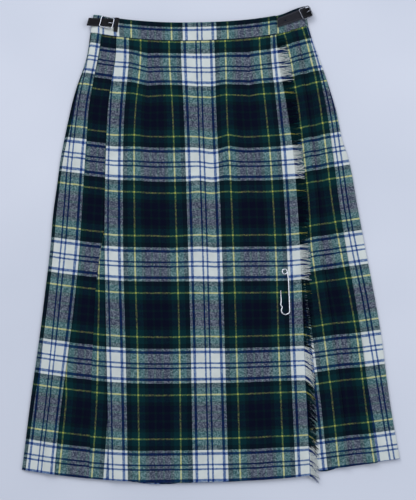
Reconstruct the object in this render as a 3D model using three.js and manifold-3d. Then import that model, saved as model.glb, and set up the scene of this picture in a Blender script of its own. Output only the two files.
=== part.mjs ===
// A pleated tartan wrap skirt, buckled and laid flat with its front up.
// Millimetres. +X is to the right, +Y towards the waist, +Z up from the
// surface that it lies on. While it is drawn, y is 0 at the middle of the
// front waist seam; the group then puts the origin under its middle.

import * as THREE from 'three';
import Module from 'manifold-3d';
import { mergeVertices } from 'three/addons/utils/BufferGeometryUtils.js';

const wasm = await Module();
wasm.setup();

// Driving dimensions.
const skirtLength = 712;       // waist seam to hem, down the middle
const bandHeight = 31;         // waistband, seam to top edge
const bandWall = 1.6;          // the waistband's doubled cloth
const bandTopHalfWidth = 174;  // half the laid width at the band's top edge
const seamGap = 0.4;           // between the waistband and what it is sewn to
const clothWall = 1;           // one layer of the skirt's cloth
const layerGap = 0.3;          // clear space between two layers
const pleatCount = 10;         // knife pleats across the back
const pleatCloth = 93.6;       // cloth that each of them takes
const stepLength = 4;          // where a layer climbs over the end of another
const underlayReach = 28;      // how far the inverted fold runs in under the apron
const underApronStart = 36;    // the under apron's hidden end, from that fold's edge
const strandCount = 120;       // fringe along the apron's edge
const strandLength = 17;
const strandWidth = 1.1;
const strandHeight = 0.7;
const stripWidth = 1.6;        // the woven edge that holds the fringe
const leatherWall = 1.6;
const frameBar = 1.8;          // the buckles' steel
const centreBarRadius = 0.8;
const wireRadius = 1;          // the kilt pin's wire

const layerStep = clothWall + layerGap;

// The laid skirt's plan at distances below the waist seam, measured from the
// middle: its two side edges, the left fold, the tuck between that and the
// apron's folded edge, the apron's folded and fringed edges, the two folds to
// the right of it, and how far the left and outer folds run back under
// themselves.
const planTable = [
  { below: 0, leftEdge: -181, rightEdge: 178, leftFold: -162, tuck: -152, apronFold: -140, fringedEdge: 123, innerFold: 159.5, outerFold: 174.5, foldDepth: 8 },
  { below: 45, leftEdge: -188.5, rightEdge: 189, leftFold: -169, tuck: -155, apronFold: -142, fringedEdge: 125.5, innerFold: 163, outerFold: 183, foldDepth: 10 },
  { below: 90, leftEdge: -201.5, rightEdge: 202.5, leftFold: -177, tuck: -162, apronFold: -150.5, fringedEdge: 132, innerFold: 168, outerFold: 192, foldDepth: 12 },
  { below: 135, leftEdge: -213, rightEdge: 213.5, leftFold: -183.5, tuck: -167, apronFold: -155.5, fringedEdge: 137.5, innerFold: 173.5, outerFold: 199.5, foldDepth: 13 },
  { below: 200, leftEdge: -226.5, rightEdge: 225.5, leftFold: -190, tuck: -165, apronFold: -159, fringedEdge: 143.5, innerFold: 177.8, outerFold: 206, foldDepth: 13 },
  { below: 290, leftEdge: -240, rightEdge: 241, leftFold: -196, tuck: -160, apronFold: -162, fringedEdge: 147, innerFold: 181.7, outerFold: 213, foldDepth: 13 },
  { below: 380, leftEdge: -250.5, rightEdge: 253.5, leftFold: -203.5, tuck: -173.5, apronFold: -163, fringedEdge: 148, innerFold: 185.5, outerFold: 222.5, foldDepth: 13 },
  { below: 490, leftEdge: -264, rightEdge: 268.5, leftFold: -217.5, tuck: -183, apronFold: -163, fringedEdge: 148.5, innerFold: 195, outerFold: 236, foldDepth: 13 },
  { below: 600, leftEdge: -280, rightEdge: 278, leftFold: -232, tuck: -187.5, apronFold: -163, fringedEdge: 149, innerFold: 203.5, outerFold: 245, foldDepth: 13 },
  { below: 712, leftEdge: -292, rightEdge: 291, leftFold: -243, tuck: -192, apronFold: -163, fringedEdge: 150, innerFold: 212, outerFold: 255, foldDepth: 13 },
];

// The tuck opens out of the fold's shadow half way down.
const tuckHeight = 0.9;
const tuckStart = 290;
const tuckFull = 380;

// The waist seam and the hem both curve up towards the side edges.
const seamRise = 19;
const hemRise = 26;
const risePower = 2.2;
const innerFoldDepth = 8;

// Distances below the seam where the cloth's cross-sections are drawn.
const clothStations = [0, 22, 45, 90, 135, 200, 290, 380, 490, 600, skirtLength];

// Back pleats: where the first and the last fold lie, in from the side edges.
const pleatInset = {
  right: { waist: 30, hem: 21 },
  left: { waist: 16, hem: 14 },
};

const colours = {
  cloth: 0x2c4a48,
  apron: 0x33524f,
  fringe: 0xb9bcae,
  band: 0x24403e,
  blackLeather: 0x17181c,
  greyLeather: 0x34353c,
  steel: 0xb9bcc2,
};

// ---- Plan and section helpers

function lerp(a, b, t) {
  return a + (b - a) * t;
}

// A smooth curve through one column of a table.
function tableAt(table, column, below) {
  let i = 0;
  while (i < table.length - 2 && table[i + 1].below < below) i += 1;
  const slope = (j) => {
    const before = table[Math.max(j - 1, 0)];
    const after = table[Math.min(j + 1, table.length - 1)];
    return (after[column] - before[column]) / (after.below - before.below);
  };
  const a = table[i];
  const b = table[i + 1];
  const span = b.below - a.below;
  const t = (below - a.below) / span;
  const t2 = t * t;
  const t3 = t2 * t;
  return (2 * t3 - 3 * t2 + 1) * a[column] + (t3 - 2 * t2 + t) * span * slope(i)
    + (3 * t2 - 2 * t3) * b[column] + (t3 - t2) * span * slope(i + 1);
}

function planAt(below) {
  const plan = { below };
  const inSkirt = Math.max(below, 0);
  for (const column of Object.keys(planTable[0])) {
    if (column !== 'below') plan[column] = tableAt(planTable, column, inSkirt);
  }
  if (below < 0) {
    const share = -below / bandHeight;
    plan.leftEdge = lerp(plan.leftEdge, -bandTopHalfWidth, share);
    plan.rightEdge = lerp(plan.rightEdge, bandTopHalfWidth, share);
  }
  return plan;
}

// The y of a point, from its x and its distance below the seam.
function heightAt(plan, x) {
  const share = Math.min(x / (x < 0 ? plan.leftEdge : plan.rightEdge), 1.1);
  const rise = lerp(seamRise, hemRise, Math.max(plan.below, 0) / skirtLength);
  return -plan.below + rise * share ** risePower;
}

function levelHeight(level) {
  return clothWall / 2 + level * layerStep;
}

// A fold that faces +X or -X and carries the cloth from one level to the next.
function foldPoints(edge, facing, fromLevel, toLevel) {
  const tip = edge - facing * clothWall * Math.SQRT1_2;
  const start = tip - facing * layerStep / 2;
  return [
    [start, levelHeight(fromLevel)],
    [tip, (levelHeight(fromLevel) + levelHeight(toLevel)) / 2],
    [start, levelHeight(toLevel)],
  ];
}

// Points between two places on one level, without the places themselves.
function runPoints(from, to, height, pieces) {
  const points = [];
  for (let i = 1; i < pieces; i += 1) points.push([lerp(from, to, i / pieces), height]);
  return points;
}

// How far a wall's face lies from its middle line at one corner of the line.
function mitre(points, i, distance) {
  const before = points[Math.max(i - 1, 0)];
  const here = points[i];
  const after = points[Math.min(i + 1, points.length - 1)];
  const normal = (a, b) => {
    const length = Math.hypot(b[0] - a[0], b[1] - a[1]);
    return [-(b[1] - a[1]) / length, (b[0] - a[0]) / length];
  };
  const first = i > 0 ? normal(before, here) : normal(here, after);
  const second = i < points.length - 1 ? normal(here, after) : first;
  const scale = distance / (1 + first[0] * second[0] + first[1] * second[1]);
  return [(first[0] + second[0]) * scale, (first[1] + second[1]) * scale];
}

// A closed wall along rows of cross-sections: each row is the wall's middle
// line as [x, z] points, and heightOf gives the y of any x on that row.
function wallGeometry(rows, thickness) {
  const count = rows[0].points.length;
  const positions = [];
  for (const { points, heightOf } of rows) {
    for (const side of [1, -1]) {
      for (let i = 0; i < count; i += 1) {
        const [dx, dz] = mitre(points, i, side * thickness / 2);
        const x = points[i][0] + dx;
        positions.push(x, heightOf(x), points[i][1] + dz);
      }
    }
  }
  const index = [];
  const at = (row, side, i) => (row * 2 + side) * count + i;
  const quad = (a, b, c, d) => index.push(a, b, c, a, c, d);
  const last = rows.length - 1;
  for (let row = 0; row < last; row += 1) {
    for (let i = 0; i < count - 1; i += 1) {
      quad(at(row, 0, i), at(row + 1, 0, i), at(row + 1, 0, i + 1), at(row, 0, i + 1));
      quad(at(row, 1, i), at(row, 1, i + 1), at(row + 1, 1, i + 1), at(row + 1, 1, i));
    }
    quad(at(row, 0, 0), at(row, 1, 0), at(row + 1, 1, 0), at(row + 1, 0, 0));
    const end = count - 1;
    quad(at(row, 0, end), at(row + 1, 0, end), at(row + 1, 1, end), at(row, 1, end));
  }
  for (let i = 0; i < count - 1; i += 1) {
    quad(at(0, 0, i), at(0, 0, i + 1), at(0, 1, i + 1), at(0, 1, i));
    quad(at(last, 0, i), at(last, 1, i), at(last, 1, i + 1), at(last, 0, i + 1));
  }
  const geometry = new THREE.BufferGeometry();
  geometry.setAttribute('position', new THREE.Float32BufferAttribute(positions, 3));
  geometry.setIndex(index);
  return facingOut(geometry);
}

// Turns a closed geometry's faces outwards if its volume comes out negative.
function facingOut(geometry) {
  const place = geometry.getAttribute('position');
  const index = geometry.getIndex().array;
  const corners = [new THREE.Vector3(), new THREE.Vector3(), new THREE.Vector3()];
  let volume = 0;
  for (let i = 0; i < index.length; i += 3) {
    corners.forEach((corner, j) => corner.fromBufferAttribute(place, index[i + j]));
    volume += corners[0].dot(corners[1].clone().cross(corners[2]));
  }
  if (volume < 0) {
    for (let i = 0; i < index.length; i += 3) {
      [index[i + 1], index[i + 2]] = [index[i + 2], index[i + 1]];
    }
  }
  return geometry;
}

function clothGeometry(sectionAt) {
  const rows = clothStations.map((below) => {
    const plan = planAt(below);
    return { points: sectionAt(plan), heightOf: (x) => heightAt(plan, x) };
  });
  return wallGeometry(rows, clothWall);
}

// ---- Solids to and from the boolean library

function toSolid(geometry) {
  const bare = new THREE.BufferGeometry();
  bare.setAttribute('position', geometry.getAttribute('position').clone());
  if (geometry.getIndex()) bare.setIndex(geometry.getIndex().clone());
  const merged = mergeVertices(bare, 1e-4);
  return new wasm.Manifold(new wasm.Mesh({
    numProp: 3,
    vertProperties: new Float32Array(merged.getAttribute('position').array),
    triVerts: new Uint32Array(merged.getIndex().array),
  }));
}

function toGeometry(solid) {
  const mesh = solid.getMesh();
  const geometry = new THREE.BufferGeometry();
  geometry.setAttribute('position', new THREE.BufferAttribute(mesh.vertProperties, 3));
  geometry.setIndex(new THREE.BufferAttribute(mesh.triVerts, 1));
  return geometry;
}

function joined(geometries) {
  let solids = geometries.map(toSolid);
  while (solids.length > 1) {
    const next = [];
    for (let i = 0; i < solids.length; i += 2) {
      next.push(i + 1 < solids.length ? solids[i].add(solids[i + 1]) : solids[i]);
    }
    solids = next;
  }
  return toGeometry(solids[0]);
}

function namedMesh(name, geometry, colour, roughness, metalness = 0) {
  const material = new THREE.MeshStandardMaterial({ color: colour, roughness, metalness });
  material.flatShading = true;
  const mesh = new THREE.Mesh(geometry, material);
  mesh.name = name;
  return mesh;
}

// ---- Cloth pieces

// One knife pleat of the back: its fold faces -X, the cloth runs back over
// itself twice and steps down to the surface for the next one.
function pleatPoints(edge, depth, visible) {
  const stepStart = edge + clothWall * 0.6;
  const stepEnd = stepStart - stepLength;
  return [
    ...foldPoints(edge, -1, 0, 1),
    ...foldPoints(edge + depth, 1, 1, 2),
    [stepStart, levelHeight(2)],
    [stepEnd, levelHeight(0)],
    [stepEnd - visible * 0.45, levelHeight(0)],
  ];
}

// The pleated back, with the cloth that comes round both side edges.
function backSection(plan) {
  const t = plan.below / skirtLength;
  const right = plan.rightEdge;
  const left = plan.leftEdge;
  const firstInset = lerp(pleatInset.right.waist, pleatInset.right.hem, t);
  const first = right - firstInset;
  const last = left + lerp(pleatInset.left.waist, pleatInset.left.hem, t);
  const pitch = (first - last) / (pleatCount - 1);
  const depth = (pleatCloth - pitch) / 2;
  const endUnderFold = plan.outerFold - plan.foldDepth;
  const points = [
    [endUnderFold, levelHeight(3)],
    ...runPoints(endUnderFold, right - 2.4, levelHeight(3), 2),
    [right - 2.4, levelHeight(3)],
    [right - 0.5, levelHeight(3) - 1.2],
    [right - 0.5, levelHeight(0) + 1.1],
    [right - 1.7, levelHeight(0)],
  ];
  for (let k = 0; k < pleatCount; k += 1) {
    const room = k === 0 ? firstInset - 5.5 : depth;
    const visible = k < pleatCount - 1 ? pitch : 0;
    const pleat = pleatPoints(first - k * pitch, Math.min(depth, room), visible);
    if (k === pleatCount - 1) pleat.pop();
    points.push(...pleat);
  }
  const underEnd = plan.leftFold - plan.foldDepth;
  points.push(
    [left + 1.7, levelHeight(0)],
    [left + 0.5, levelHeight(0) + 1.1],
    [left + 0.5, levelHeight(0) + 2.2],
    [left + 2.4, levelHeight(3) - 0.3],
    [underEnd - 1.5 - stepLength, levelHeight(3)],
    [underEnd - 1.5, levelHeight(5)],
    ...foldPoints(plan.leftFold, 1, 5, 4),
    [underEnd, levelHeight(4)],
  );
  return points;
}

// The under apron, from its hidden end to the second of its two folds.
function underApronSection(plan) {
  const start = plan.apronFold + underApronStart;
  const innerBack = plan.innerFold - innerFoldDepth;
  const outerBack = plan.outerFold - plan.foldDepth;
  return [
    [start, levelHeight(3)],
    ...runPoints(start, innerBack - 2 - stepLength, levelHeight(3), 12),
    [innerBack - 2 - stepLength, levelHeight(3)],
    [innerBack - 2, levelHeight(5)],
    ...foldPoints(plan.innerFold, 1, 5, 4),
    ...foldPoints(innerBack, -1, 4, 3),
    [outerBack - 2 - stepLength, levelHeight(3)],
    [outerBack - 2, levelHeight(5)],
    ...foldPoints(plan.outerFold, 1, 5, 4),
    [outerBack, levelHeight(4)],
  ];
}

// The front apron: the underlay of its inverted fold, the folded edge on top
// of that, and the flat apron as far as the fringed edge.
function frontApronSection(plan) {
  const start = plan.leftFold - plan.foldDepth;
  const reach = plan.apronFold + underlayReach;
  const tuckTop = levelHeight(3) + tuckHeight * THREE.MathUtils.smoothstep(plan.below, tuckStart, tuckFull);
  return [
    [start, levelHeight(3)],
    ...runPoints(start, plan.tuck - 6, levelHeight(3), 2),
    [plan.tuck - 6, levelHeight(3)],
    [plan.tuck - 4.5, tuckTop],
    [plan.tuck - 0.9, tuckTop],
    [plan.tuck, levelHeight(3)],
    ...runPoints(plan.tuck, reach, levelHeight(3), 3),
    ...foldPoints(reach, 1, 3, 4),
    ...foldPoints(plan.apronFold, -1, 4, 5),
    [reach + 2, levelHeight(5)],
    [reach + 2 + stepLength, levelHeight(4)],
    ...runPoints(reach + 2 + stepLength, plan.fringedEdge, levelHeight(4), 11),
    [plan.fringedEdge, levelHeight(4)],
  ];
}

// The waistband: one doubled strip that starts under the front apron, goes
// round the right side, the back and the left side, and ends above the fringe.
function bandSection(plan) {
  const right = plan.rightEdge;
  const left = plan.leftEdge;
  const start = plan.apronFold + underApronStart;
  const backHeight = bandWall / 2;
  const underHeight = levelHeight(3) - clothWall / 2 + bandWall / 2;
  const overHeight = underHeight + bandWall + layerGap;
  return [
    [start, underHeight],
    ...runPoints(start, right - 3, underHeight, 13),
    [right - 3, underHeight],
    [right - 0.8, underHeight - 1.6],
    [right - 0.8, backHeight + 1.6],
    [right - 2.4, backHeight],
    ...runPoints(right - 2.4, left + 2.4, backHeight, 16),
    [left + 2.4, backHeight],
    [left + 0.8, backHeight + 1.6],
    [left + 0.8, backHeight + 2.8],
    [left + 3, backHeight + 4],
    [left + 11, overHeight],
    ...runPoints(left + 11, plan.fringedEdge, overHeight, 13),
    [plan.fringedEdge, overHeight],
  ];
}

function bandGeometry() {
  const rows = [-seamGap, -bandHeight / 2, -bandHeight].map((below) => {
    const plan = planAt(below);
    return { points: bandSection(plan), heightOf: (x) => heightAt(plan, x) };
  });
  return wallGeometry(rows, bandWall);
}

// ---- Fringe

// One three-sided strand along a path of [x, y] points that lies on the cloth.
function strandGeometry(path, width, baseHeight) {
  const positions = [];
  const lastStep = path.length - 1;
  path.forEach(([x, y], i) => {
    const before = path[Math.max(i - 1, 0)];
    const after = path[Math.min(i + 1, lastStep)];
    const length = Math.hypot(after[0] - before[0], after[1] - before[1]);
    const half = width * lerp(0.5, 0.2, i / lastStep);
    const acrossX = -(after[1] - before[1]) / length * half;
    const acrossY = (after[0] - before[0]) / length * half;
    positions.push(x + acrossX, y + acrossY, baseHeight);
    positions.push(x - acrossX, y - acrossY, baseHeight);
    positions.push(x, y, baseHeight + strandHeight * lerp(1, 0.6, i / lastStep));
  });
  const index = [0, 1, 2];
  for (let i = 0; i < lastStep; i += 1) {
    for (let side = 0; side < 3; side += 1) {
      const a = i * 3 + side;
      const b = i * 3 + (side + 1) % 3;
      index.push(a, a + 3, b, b, a + 3, b + 3);
    }
  }
  const tip = lastStep * 3;
  index.push(tip, tip + 2, tip + 1);
  const geometry = new THREE.BufferGeometry();
  geometry.setAttribute('position', new THREE.Float32BufferAttribute(positions, 3));
  geometry.setIndex(index);
  return facingOut(geometry);
}

// The strands lie level near the waist and hang downwards from half way.
function strandPath(below, number) {
  const plan = planAt(below);
  const droopStart = 470;
  const droopFull = 560;
  const droop = THREE.MathUtils.smoothstep(below, droopStart, droopFull);
  const wander = 4 * Math.sin(number * 0.9) + 3 * Math.sin(number * 0.37 + 1);
  const startAngle = THREE.MathUtils.degToRad(wander * (1 - 0.6 * droop));
  const endAngle = startAngle - THREE.MathUtils.degToRad(48) * droop;
  const length = strandLength + 1.5 * Math.sin(number * 2.3);
  const shares = [0.4, 0.3, 0.3];
  let x = plan.fringedEdge + layerGap + stripWidth / 2;
  let y = heightAt(plan, x);
  const path = [[x, y]];
  shares.forEach((share, i) => {
    const angle = lerp(startAngle, endAngle, Math.min(i / 2, 1));
    x += Math.cos(angle) * share * length;
    y += Math.sin(angle) * share * length;
    path.push([x, y]);
  });
  return path;
}

function fringeGeometry() {
  const margin = 3;
  const baseHeight = levelHeight(4) - clothWall / 2;
  const rows = [];
  const stripRows = 30;
  for (let i = 0; i <= stripRows; i += 1) {
    const plan = planAt(lerp(margin, skirtLength - 1, i / stripRows));
    const start = plan.fringedEdge + layerGap;
    const middle = levelHeight(4);
    rows.push({ points: [[start, middle], [start + stripWidth, middle]], heightOf: (x) => heightAt(plan, x) });
  }
  const pieces = [wallGeometry(rows, clothWall)];
  for (let i = 0; i < strandCount; i += 1) {
    const below = lerp(margin + 1.5, skirtLength - 3, i / (strandCount - 1));
    pieces.push(strandGeometry(strandPath(below, i), strandWidth, baseHeight + 0.02));
  }
  return joined(pieces);
}

// ---- Buckles and straps

const bandTop = levelHeight(3) - clothWall / 2 + 2 * bandWall + layerGap;
const underBandTop = bandTop - bandWall - layerGap;

// A strap that lies on the waistband and rises over the buckle's centre bar.
// Its x runs from the buckle's middle; slots are the prong's and a spare hole.
function strapGeometry(strap) {
  const low = strap.base + layerGap + leatherWall / 2;
  const high = low + 2 * centreBarRadius + layerGap;
  const inside = strap.frameLength / 2 - frameBar;
  const rows = [-0.5, 0.5].map((side) => ({
    points: [
      [strap.leftEnd + side * strap.endSlant, low],
      [-inside, low],
      [-1.6, high],
      [1.6, high],
      [inside, low],
      [strap.rightEnd, low],
    ],
    heightOf: () => side * strap.width,
  }));
  let solid = toSolid(wallGeometry(rows, leatherWall));
  for (const slot of strap.slots) {
    const cutter = new THREE.BoxGeometry(slot.length, slot.width, 10);
    cutter.translate(slot.x, 0, low + 1);
    solid = solid.subtract(toSolid(cutter));
  }
  return toGeometry(solid);
}

function roundedRectangle(width, height, radius) {
  const shape = new THREE.Shape();
  const x = width / 2;
  const y = height / 2;
  shape.moveTo(-x + radius, -y);
  shape.lineTo(x - radius, -y);
  shape.absarc(x - radius, -y + radius, radius, -Math.PI / 2, 0, false);
  shape.lineTo(x, y - radius);
  shape.absarc(x - radius, y - radius, radius, 0, Math.PI / 2, false);
  shape.lineTo(-x + radius, y);
  shape.absarc(-x + radius, y - radius, radius, Math.PI / 2, Math.PI, false);
  shape.lineTo(-x, -y + radius);
  shape.absarc(-x + radius, -y + radius, radius, Math.PI, Math.PI * 1.5, false);
  return shape;
}

// The buckle's frame lies over the strap, and its centre bar under it.
function frameGeometry(strap) {
  const low = strap.base + layerGap + leatherWall;
  const frameBase = low + layerGap;
  const outline = roundedRectangle(strap.frameLength, strap.frameWidth, 3.4);
  outline.holes.push(roundedRectangle(
    strap.frameLength - 2 * frameBar,
    strap.frameWidth - 2 * frameBar,
    3.4 - frameBar,
  ));
  const ring = new THREE.ExtrudeGeometry(outline, {
    depth: frameBar - 0.6,
    bevelEnabled: true,
    bevelThickness: 0.3,
    bevelSize: 0.3,
    bevelOffset: -0.3,
    bevelSegments: 1,
    curveSegments: 3,
  });
  ring.translate(0, 0, frameBase + 0.3);
  const sideMiddle = (strap.frameWidth - frameBar) / 2;
  const barHeight = strap.base + layerGap + centreBarRadius;
  const bar = new THREE.CylinderGeometry(centreBarRadius, centreBarRadius, 2 * sideMiddle, 8);
  bar.translate(0, 0, barHeight);
  const pieces = [ring, bar];
  for (const side of [-1, 1]) {
    const post = new THREE.BoxGeometry(1.6, 1.4, frameBase + 1 - barHeight);
    post.translate(0, side * sideMiddle, (frameBase + 1 + barHeight) / 2);
    pieces.push(post);
  }
  return joined(pieces);
}

// The prong comes up through the strap's slot and rests on the outer bar.
function prongGeometry(strap) {
  const frameTop = strap.base + 2 * layerGap + leatherWall + frameBar;
  const radius = 0.65;
  const rest = frameTop + layerGap + radius;
  const barMiddle = (strap.frameLength - frameBar) / 2;
  const path = new THREE.CatmullRomCurve3([
    new THREE.Vector3(1.9, 0, strap.base + layerGap + 1),
    new THREE.Vector3(3.1, 0, strap.base + layerGap + 2.6),
    new THREE.Vector3(4.8, 0, rest - 0.5),
    new THREE.Vector3(barMiddle - 2, 0, rest),
    new THREE.Vector3(barMiddle + 0.7, 0, rest),
  ]);
  const section = new THREE.Shape();
  section.absarc(0, 0, radius, 0, Math.PI * 2, false);
  return new THREE.ExtrudeGeometry(section, { steps: 9, extrudePath: path, curveSegments: 3 });
}

// Each strap's place and turn on the laid skirt, and its sizes from there.
const straps = {
  left: {
    x: -155, aboveSeam: 34, turn: -5, frameTurn: -9, base: bandTop, width: 13,
    leftEnd: -31, endSlant: 2.6, rightEnd: 12.6, frameLength: 20.6, frameWidth: 19.6,
    slots: [{ x: 3.6, length: 4.4, width: 3.4 }],
  },
  right: {
    x: 172, aboveSeam: 41.5, turn: 18, frameTurn: 4, base: underBandTop, width: 14.5,
    leftEnd: -48.5, endSlant: 4.8, rightEnd: 11.5, frameLength: 15.6, frameWidth: 19.6,
    slots: [{ x: 3.6, length: 4.4, width: 3 }, { x: -35.5, length: 2.6, width: 2.6 }],
  },
};

function strapGroup(side, colour) {
  const strap = straps[side];
  const leather = namedMesh(`${side}_strap`, strapGeometry(strap), colour, 0.5);
  const frame = namedMesh(`${side}_buckle_frame`, frameGeometry(strap), colours.steel, 0.3, 1);
  const prong = namedMesh(`${side}_buckle_prong`, prongGeometry(strap), colours.steel, 0.3, 1);
  frame.rotation.z = THREE.MathUtils.degToRad(strap.frameTurn);
  prong.rotation.z = frame.rotation.z;
  const group = new THREE.Group();
  group.add(leather, frame, prong);
  group.position.set(strap.x, strap.aboveSeam, 0);
  group.rotation.z = THREE.MathUtils.degToRad(strap.turn);
  return group;
}

// The leather binding of the slit that the left strap comes out of.
function stayGeometry() {
  const width = 6.5;
  const length = 24;
  const turn = -9;
  const middle = [-137.7, 30.4];
  const geometry = new THREE.BoxGeometry(width, length, leatherWall);
  geometry.rotateZ(THREE.MathUtils.degToRad(turn));
  geometry.translate(...middle, bandTop + layerGap + leatherWall / 2);
  return geometry;
}

// ---- Kilt pin

// A wire pin near the fringe: a ring, a long leg, a bend and a short leg whose
// point goes into the cloth.
function pinGeometry() {
  const height = levelHeight(4) + clothWall / 2 + layerGap + wireRadius;
  const ringX = 122.1;
  const ringBelow = 386;
  const ringRadius = 3.9;
  const longLegX = 127.4;
  const shortLegX = 114.4;
  const bendRadius = (longLegX - shortLegX) / 2;
  const bendBelow = 447.5;
  const pointBelow = 416;
  const points = [];
  const ringSteps = 11;
  const ringTurn = Math.PI * 1.82;
  for (let i = 0; i <= ringSteps; i += 1) {
    const angle = ringTurn - i / ringSteps * ringTurn;
    points.push([ringX + ringRadius * Math.cos(angle), -ringBelow + ringRadius * Math.sin(angle)]);
  }
  points.reverse();
  points.splice(0, 1);
  points.reverse();
  points.push([longLegX - 0.6, -ringBelow - 7], [longLegX, -ringBelow - 16]);
  points.push([longLegX, -(ringBelow + bendBelow) / 2], [longLegX, -bendBelow]);
  for (const angle of [-45, -90, -135]) {
    const turn = THREE.MathUtils.degToRad(angle);
    points.push([
      (longLegX + shortLegX) / 2 + bendRadius * Math.cos(turn),
      -bendBelow + bendRadius * Math.sin(turn),
    ]);
  }
  points.push([shortLegX - 0.2, -bendBelow], [shortLegX + 1.5, -bendBelow + 4.8]);
  points.push([shortLegX - 0.7, -bendBelow + 9.2], [shortLegX + 0.2, -bendBelow + 14], [shortLegX + 0.2, -pointBelow]);
  const path = new THREE.CatmullRomCurve3(points.map(([x, y]) => new THREE.Vector3(x, y, height)));
  const section = new THREE.Shape();
  section.absarc(0, 0, wireRadius, 0, Math.PI * 2, false);
  return new THREE.ExtrudeGeometry(section, { steps: 64, extrudePath: path, curveSegments: 3 });
}

// ---- The skirt

const group = new THREE.Group();
const drawn = new THREE.Group();
drawn.add(
  namedMesh('back_panel', clothGeometry(backSection), colours.cloth, 0.9),
  namedMesh('under_apron', clothGeometry(underApronSection), colours.cloth, 0.9),
  namedMesh('front_apron', clothGeometry(frontApronSection), colours.apron, 0.9),
  namedMesh('apron_fringe', fringeGeometry(), colours.fringe, 0.9),
  namedMesh('waistband', bandGeometry(), colours.band, 0.9),
  strapGroup('left', colours.blackLeather),
  strapGroup('right', colours.greyLeather),
  namedMesh('left_strap_stay', stayGeometry(), colours.blackLeather, 0.5),
  namedMesh('kilt_pin', pinGeometry(), colours.steel, 0.3, 1),
);

// The origin lies on the surface, under the middle of the box round it all.
const box = new THREE.Box3().setFromObject(drawn);
drawn.position.set(-(box.min.x + box.max.x) / 2, -(box.min.y + box.max.y) / 2, -box.min.z);
group.add(drawn);

export default group;
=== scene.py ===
import math
import random

import bmesh
import bpy
from mathutils import Matrix, Vector, noise


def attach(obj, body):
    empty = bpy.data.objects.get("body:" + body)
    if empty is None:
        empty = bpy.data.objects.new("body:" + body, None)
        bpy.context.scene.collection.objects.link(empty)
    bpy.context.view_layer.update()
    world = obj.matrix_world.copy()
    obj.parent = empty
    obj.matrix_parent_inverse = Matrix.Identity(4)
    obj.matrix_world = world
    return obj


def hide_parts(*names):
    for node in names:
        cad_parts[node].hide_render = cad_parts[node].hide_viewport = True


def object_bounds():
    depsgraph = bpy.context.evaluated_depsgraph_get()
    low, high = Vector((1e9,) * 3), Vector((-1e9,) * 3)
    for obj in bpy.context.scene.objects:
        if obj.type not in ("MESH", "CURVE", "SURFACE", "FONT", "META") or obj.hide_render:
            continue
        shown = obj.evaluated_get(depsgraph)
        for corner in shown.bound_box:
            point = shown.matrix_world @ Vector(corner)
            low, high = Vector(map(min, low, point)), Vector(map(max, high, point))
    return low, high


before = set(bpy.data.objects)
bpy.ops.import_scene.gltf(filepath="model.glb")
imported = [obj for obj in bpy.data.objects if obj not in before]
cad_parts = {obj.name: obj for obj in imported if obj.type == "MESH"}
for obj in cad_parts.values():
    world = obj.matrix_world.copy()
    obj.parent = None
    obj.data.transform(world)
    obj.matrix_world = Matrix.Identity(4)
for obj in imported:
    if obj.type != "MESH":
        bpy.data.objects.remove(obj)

cadBox = [list(corner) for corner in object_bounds()]
millimetre = 0.001
bpy.ops.object.select_all(action="DESELECT")


# colours and nodes

def linearOf(hexCode, alpha=1.0):
    channels = []
    for i in (0, 2, 4):
        value = int(hexCode[i:i + 2], 16) / 255
        channels.append(value / 12.92 if value <= 0.04045 else ((value + 0.055) / 1.055) ** 2.4)
    return (*channels, alpha)


def addNode(tree, kind, settings=None, links=None):
    node = tree.nodes.new(kind)
    for name, value in (settings or {}).items():
        if isinstance(name, int) or name in node.inputs:
            node.inputs[name].default_value = value
        else:
            setattr(node, name, value)
    for name, socket in (links or {}).items():
        tree.links.new(socket, node.inputs[name])
    return node


# plug a number, a colour or another node's socket into an input
def plug(tree, node, name, value):
    if isinstance(value, bpy.types.NodeSocket):
        tree.links.new(value, node.inputs[name])
    else:
        node.inputs[name].default_value = value


def mathNode(tree, operation, *values):
    node = addNode(tree, "ShaderNodeMath", {"operation": operation})
    for i, value in enumerate(values):
        plug(tree, node, i, value)
    return node.outputs[0]


def noiseOf(tree, place, scale, detail):
    node = addNode(tree, "ShaderNodeTexNoise", {"Scale": scale, "Detail": detail}, {"Vector": place})
    return node.outputs["Fac"]


# most noise lies between 0.3 and 0.7
def rangeOf(tree, value, toMin, toMax, fromMin=0.3, fromMax=0.7):
    limits = {"From Min": fromMin, "From Max": fromMax, "To Min": toMin, "To Max": toMax}
    return addNode(tree, "ShaderNodeMapRange", limits, {"Value": value}).outputs[0]


def blendOf(tree, share, first, second):
    node = addNode(tree, "ShaderNodeMix", {"data_type": "RGBA"})
    for name, value in ((0, share), (6, first), (7, second)):
        plug(tree, node, name, value)
    return node.outputs[2]


def scaledColour(tree, colour, share):
    node = addNode(tree, "ShaderNodeVectorMath", {"operation": "SCALE"}, {0: colour, "Scale": share})
    return node.outputs[0]


def uvPlace(tree, layerName):
    place = addNode(tree, "ShaderNodeUVMap", {"uv_map": layerName}).outputs[0]
    return place, addNode(tree, "ShaderNodeSeparateXYZ", {}, {0: place}).outputs


def newMaterial(name, finish):
    material = bpy.data.materials.new(name)
    material.use_nodes = True
    tree = material.node_tree
    tree.nodes.clear()
    shader = addNode(tree, "ShaderNodeBsdfPrincipled", finish)
    addNode(tree, "ShaderNodeOutputMaterial", {}, {"Surface": shader.outputs[0]})
    return material, tree, shader


def addBump(tree, shader, height, strength, distance):
    bump = addNode(tree, "ShaderNodeBump", {"Strength": strength, "Distance": distance}, {"Height": height})
    tree.links.new(bump.outputs[0], shader.inputs["Normal"])


def fillRamp(rampNode, stops, interpolation="LINEAR"):
    ramp = rampNode.color_ramp
    ramp.interpolation = interpolation
    for element, (place, colour) in zip(ramp.elements, stops):
        element.position = place
        element.color = colour
    for place, colour in stops[2:]:
        ramp.elements.new(place).color = colour


# stage: camera, floor, light

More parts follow.
